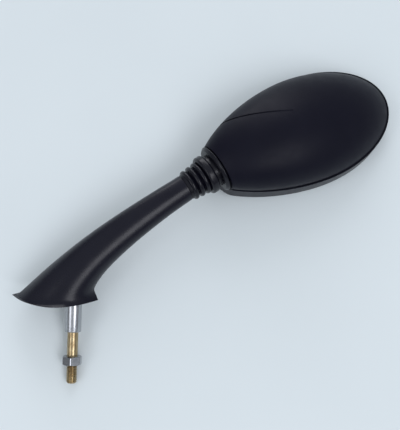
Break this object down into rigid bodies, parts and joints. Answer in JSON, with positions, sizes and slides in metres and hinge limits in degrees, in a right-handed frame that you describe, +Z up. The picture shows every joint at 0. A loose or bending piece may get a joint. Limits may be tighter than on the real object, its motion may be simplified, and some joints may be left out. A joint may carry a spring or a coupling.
{
  "type": "motorcycle mirror",
  "caption": "Left-hand motorcycle mirror: an egg-shaped black head on a booted ball joint, a horn-shaped arm with a flared base, and a mounting bolt with spacer sleeve and nut.",
  "frame": {"origin": "centre of the spacer sleeve's lower face, on the mounting bolt's axis", "axes": "+Z up along the mounting bolt, +X outboard from the arm's foot to the mirror's tip, +Y rearwards, the side of the glass"},
  "size_m": [0.2868, 0.0832, 0.2468],
  "materials": {
    "moulded_black": "satin",
    "bright_zinc": "bright zinc plate",
    "yellow_zinc": "yellow zinc plate",
    "ground_steel": "ground",
    "black_rubber": "satin",
    "nylon": "natural",
    "filled_nylon": "matt",
    "mirror": "silvered",
    "foam": "matt foam"
  },
  "bodies": {
    "stand": {"arm": "moulded_black", "spacer_sleeve": "bright_zinc", "mounting_bolt": "yellow_zinc", "ball_stem": "ground_steel"},
    "nut": {"hex_nut": "bright_zinc"},
    "boot": {"boot": "black_rubber"},
    "seats": {"seat_back": "nylon", "seat_front": "nylon"},
    "head": {"rear_shell": "moulded_black", "front_bezel": "moulded_black", "mirror_glass": "mirror", "glass_pad": "foam", "socket_base": "filled_nylon", "clamp_plate": "bright_zinc", "spring_washers": "bright_zinc", "clamp_screws": "bright_zinc"}
  },
  "joints": [
    {"name": "nut_run", "type": "slide", "parent": "stand", "child": "nut", "axis": [0, 0, -1], "range_m": [-0.0018, 0.0128]},
    {"name": "head_tilt", "type": "hinge", "parent": "stand", "child": "boot", "pos_m": [0.11041, 0.0159, 0.12989], "axis": [0.8109, 0.2079, 0.547], "range_deg": [-20, 20]},
    {"name": "head_pan", "type": "hinge", "parent": "boot", "child": "seats", "pos_m": [0.11041, 0.0159, 0.12989], "axis": [-0.5828, 0.2034, 0.7867], "range_deg": [-12, 12], "deforming": ["boot"]},
    {"name": "head_roll", "type": "hinge", "parent": "seats", "child": "head", "pos_m": [0.11041, 0.0159, 0.12989], "axis": [0.0523, -0.9568, 0.2861], "range_deg": [-10, 10], "deforming": ["boot"]}
  ]
}
